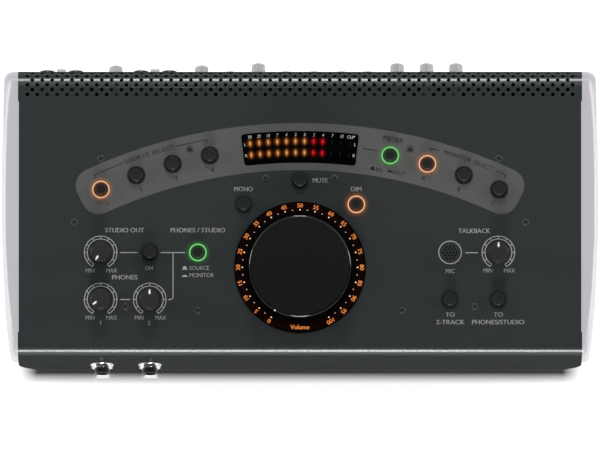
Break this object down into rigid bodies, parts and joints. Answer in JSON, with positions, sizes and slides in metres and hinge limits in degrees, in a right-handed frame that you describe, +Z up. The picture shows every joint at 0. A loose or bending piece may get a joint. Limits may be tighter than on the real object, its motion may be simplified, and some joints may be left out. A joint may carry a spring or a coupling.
{
  "type": "studio monitor controller",
  "caption": "Wedge-shaped desktop box with a big volume knob, lit round buttons, small level knobs, a curved level meter, front headphone jacks and rear audio sockets.",
  "frame": {"origin": "centre of the bounding box's footprint, on the desk", "axes": "+X to the user's right along the long side, +Y towards the rear connectors, +Z up"},
  "size_m": [0.3658, 0.1856, 0.0866],
  "materials": {
    "cover_paint": "fine textured charcoal powder coat",
    "tray_paint": "satin black powder coat",
    "cheek_plastic": "silver-grey moulded plastic",
    "rubber": "matt black",
    "board": "green solder mask",
    "black_plastic": "black",
    "knob_plastic": "fine matt black",
    "cap_plastic": "satin black",
    "trim_plastic": "mid grey",
    "level_plastic": "light grey",
    "scale_plastic": "gloss black with orange figures",
    "window": "smoked acrylic",
    "amber": "lit amber",
    "green": "lit green",
    "red": "lit red",
    "unlit": "unlit smoked",
    "steel": "bright steel",
    "screw_steel": "black zinc",
    "chrome": "nickel plate"
  },
  "bodies": {
    "case": {"base_tray": "tray_paint", "board_standoffs": "steel", "case_screws": "screw_steel", "connector_board": "board", "left_cheek": "cheek_plastic", "light_rings_amber": "amber", "light_rings_green": "green", "light_rings_unlit": "unlit", "main_board": "board", "meter_housing": "black_plastic", "meter_leds_amber": "amber", "meter_leds_red": "red", "meter_leds_unlit": "unlit", "meter_window": "window", "microphone_boot": "rubber", "panel_screws": "screw_steel", "phones_jack_bodies": "black_plastic", "phones_jack_nuts": "chrome", "phono_sockets": "black_plastic", "pot_bodies": "black_plastic", "power_inlet": "black_plastic", "rear_jack_nuts": "black_plastic", "rear_jacks": "black_plastic", "right_cheek": "cheek_plastic", "rubber_feet": "rubber", "switch_bodies": "black_plastic", "talkback_microphone": "steel", "top_cover": "cover_paint", "usb_socket": "steel", "volume_pot_body": "black_plastic", "volume_scale_ring": "scale_plastic"},
    "button_source_1": {"button_source_1": "cap_plastic"},
    "button_source_2": {"button_source_2": "cap_plastic"},
    "button_source_3": {"button_source_3": "cap_plastic"},
    "button_source_4": {"button_source_4": "cap_plastic"},
    "button_meter": {"button_meter": "cap_plastic"},
    "button_monitor_a": {"button_monitor_a": "cap_plastic"},
    "button_monitor_b": {"button_monitor_b": "cap_plastic"},
    "button_monitor_c": {"button_monitor_c": "cap_plastic"},
    "button_mute": {"button_mute": "cap_plastic"},
    "button_mono": {"button_mono": "cap_plastic"},
    "button_dim": {"button_dim": "cap_plastic"},
    "button_studio_on": {"button_studio_on": "cap_plastic"},
    "button_phones_source": {"button_phones_source": "cap_plastic"},
    "button_talk_to_record": {"button_talk_to_record": "cap_plastic"},
    "button_talk_to_phones": {"button_talk_to_phones": "cap_plastic"},
    "level_cap_left": {"level_cap_left": "level_plastic"},
    "level_cap_right": {"level_cap_right": "level_plastic"},
    "volume": {"volume_knob": "knob_plastic", "volume_shaft": "steel"},
    "knob_studio_out": {"knob_studio_out": "knob_plastic"},
    "knob_phones_1": {"knob_phones_1": "knob_plastic"},
    "knob_phones_2": {"knob_phones_2": "knob_plastic"},
    "knob_talkback": {"knob_talkback": "knob_plastic"},
    "trim_knob_1": {"trim_knob_1": "trim_plastic"},
    "trim_knob_2": {"trim_knob_2": "trim_plastic"},
    "trim_knob_3": {"trim_knob_3": "trim_plastic"},
    "trim_knob_4": {"trim_knob_4": "trim_plastic"},
    "trim_knob_5": {"trim_knob_5": "trim_plastic"},
    "trim_knob_6": {"trim_knob_6": "trim_plastic"}
  },
  "joints": [
    {"name": "source_1_press", "type": "slide", "parent": "case", "child": "button_source_1", "axis": [0, 0.1736, -0.9848], "range_m": [0, 0.0025], "stiffness_N_per_m": 300},
    {"name": "source_2_press", "type": "slide", "parent": "case", "child": "button_source_2", "axis": [0, 0.1736, -0.9848], "range_m": [0, 0.0025], "stiffness_N_per_m": 300},
    {"name": "source_3_press", "type": "slide", "parent": "case", "child": "button_source_3", "axis": [0, 0.1736, -0.9848], "range_m": [0, 0.0025], "stiffness_N_per_m": 300},
    {"name": "source_4_press", "type": "slide", "parent": "case", "child": "button_source_4", "axis": [0, 0.1736, -0.9848], "range_m": [0, 0.0025], "stiffness_N_per_m": 300},
    {"name": "meter_press", "type": "slide", "parent": "case", "child": "button_meter", "axis": [0, 0.1736, -0.9848], "range_m": [0, 0.0025], "stiffness_N_per_m": 300},
    {"name": "monitor_a_press", "type": "slide", "parent": "case", "child": "button_monitor_a", "axis": [0, 0.1736, -0.9848], "range_m": [0, 0.0025], "stiffness_N_per_m": 300},
    {"name": "monitor_b_press", "type": "slide", "parent": "case", "child": "button_monitor_b", "axis": [0, 0.1736, -0.9848], "range_m": [0, 0.0025], "stiffness_N_per_m": 300},
    {"name": "monitor_c_press", "type": "slide", "parent": "case", "child": "button_monitor_c", "axis": [0, 0.1736, -0.9848], "range_m": [0, 0.0025], "stiffness_N_per_m": 300},
    {"name": "mute_press", "type": "slide", "parent": "case", "child": "button_mute", "axis": [0, 0.1736, -0.9848], "range_m": [0, 0.0025], "stiffness_N_per_m": 300},
    {"name": "mono_press", "type": "slide", "parent": "case", "child": "button_mono", "axis": [0, 0.1736, -0.9848], "range_m": [0, 0.0025], "stiffness_N_per_m": 300},
    {"name": "dim_press", "type": "slide", "parent": "case", "child": "button_dim", "axis": [0, 0.1736, -0.9848], "range_m": [0, 0.0025], "stiffness_N_per_m": 300},
    {"name": "studio_on_press", "type": "slide", "parent": "case", "child": "button_studio_on", "axis": [0, 0.1736, -0.9848], "range_m": [0, 0.0025], "stiffness_N_per_m": 300},
    {"name": "phones_source_press", "type": "slide", "parent": "case", "child": "button_phones_source", "axis": [0, 0.1736, -0.9848], "range_m": [0, 0.0025], "stiffness_N_per_m": 300},
    {"name": "talk_to_record_press", "type": "slide", "parent": "case", "child": "button_talk_to_record", "axis": [0, 0.1736, -0.9848], "range_m": [0, 0.0025], "stiffness_N_per_m": 300},
    {"name": "talk_to_phones_press", "type": "slide", "parent": "case", "child": "button_talk_to_phones", "axis": [0, 0.1736, -0.9848], "range_m": [0, 0.0025], "stiffness_N_per_m": 300},
    {"name": "level_left_press", "type": "slide", "parent": "case", "child": "level_cap_left", "axis": [0, -1, 0], "range_m": [0, 0.002], "stiffness_N_per_m": 300},
    {"name": "level_right_press", "type": "slide", "parent": "case", "child": "level_cap_right", "axis": [0, -1, 0], "range_m": [0, 0.002], "stiffness_N_per_m": 300},
    {"name": "volume_turn", "type": "hinge", "parent": "case", "child": "volume", "pos_m": [0, -0.035, 0.05685], "axis": [0, 0.1736, -0.9848], "range_deg": [0, 300]},
    {"name": "studio_out_turn", "type": "hinge", "parent": "case", "child": "knob_studio_out", "pos_m": [-0.1214, -0.02594, 0.05845], "axis": [0, 0.1736, -0.9848], "range_deg": [0, 300]},
    {"name": "phones_1_turn", "type": "hinge", "parent": "case", "child": "knob_phones_1", "pos_m": [-0.1214, -0.0542, 0.05346], "axis": [0, 0.1736, -0.9848], "range_deg": [-24, 276]},
    {"name": "phones_2_turn", "type": "hinge", "parent": "case", "child": "knob_phones_2", "pos_m": [-0.0915, -0.0542, 0.05346], "axis": [0, 0.1736, -0.9848], "range_deg": [-150, 150]},
    {"name": "talkback_turn", "type": "hinge", "parent": "case", "child": "knob_talkback", "pos_m": [0.1208, -0.02594, 0.05845], "axis": [0, 0.1736, -0.9848], "range_deg": [-150, 150]},
    {"name": "trim_1_turn", "type": "hinge", "parent": "case", "child": "trim_knob_1", "pos_m": [-0.1125, 0.0848, 0.0508], "axis": [0, -1, 0], "range_deg": [-140, 140]},
    {"name": "trim_2_turn", "type": "hinge", "parent": "case", "child": "trim_knob_2", "pos_m": [-0.0601, 0.0848, 0.0508], "axis": [0, -1, 0], "range_deg": [-140, 140]},
    {"name": "trim_3_turn", "type": "hinge", "parent": "case", "child": "trim_knob_3", "pos_m": [-0.0254, 0.0848, 0.057], "axis": [0, -1, 0], "range_deg": [-140, 140]},
    {"name": "trim_4_turn", "type": "hinge", "parent": "case", "child": "trim_knob_4", "pos_m": [0.0593, 0.0848, 0.057], "axis": [0, -1, 0], "range_deg": [-140, 140]},
    {"name": "trim_5_turn", "type": "hinge", "parent": "case", "child": "trim_knob_5", "pos_m": [0.0773, 0.0848, 0.057], "axis": [0, -1, 0], "range_deg": [-140, 140]},
    {"name": "trim_6_turn", "type": "hinge", "parent": "case", "child": "trim_knob_6", "pos_m": [0.0952, 0.0848, 0.057], "axis": [0, -1, 0], "range_deg": [-140, 140]}
  ]
}
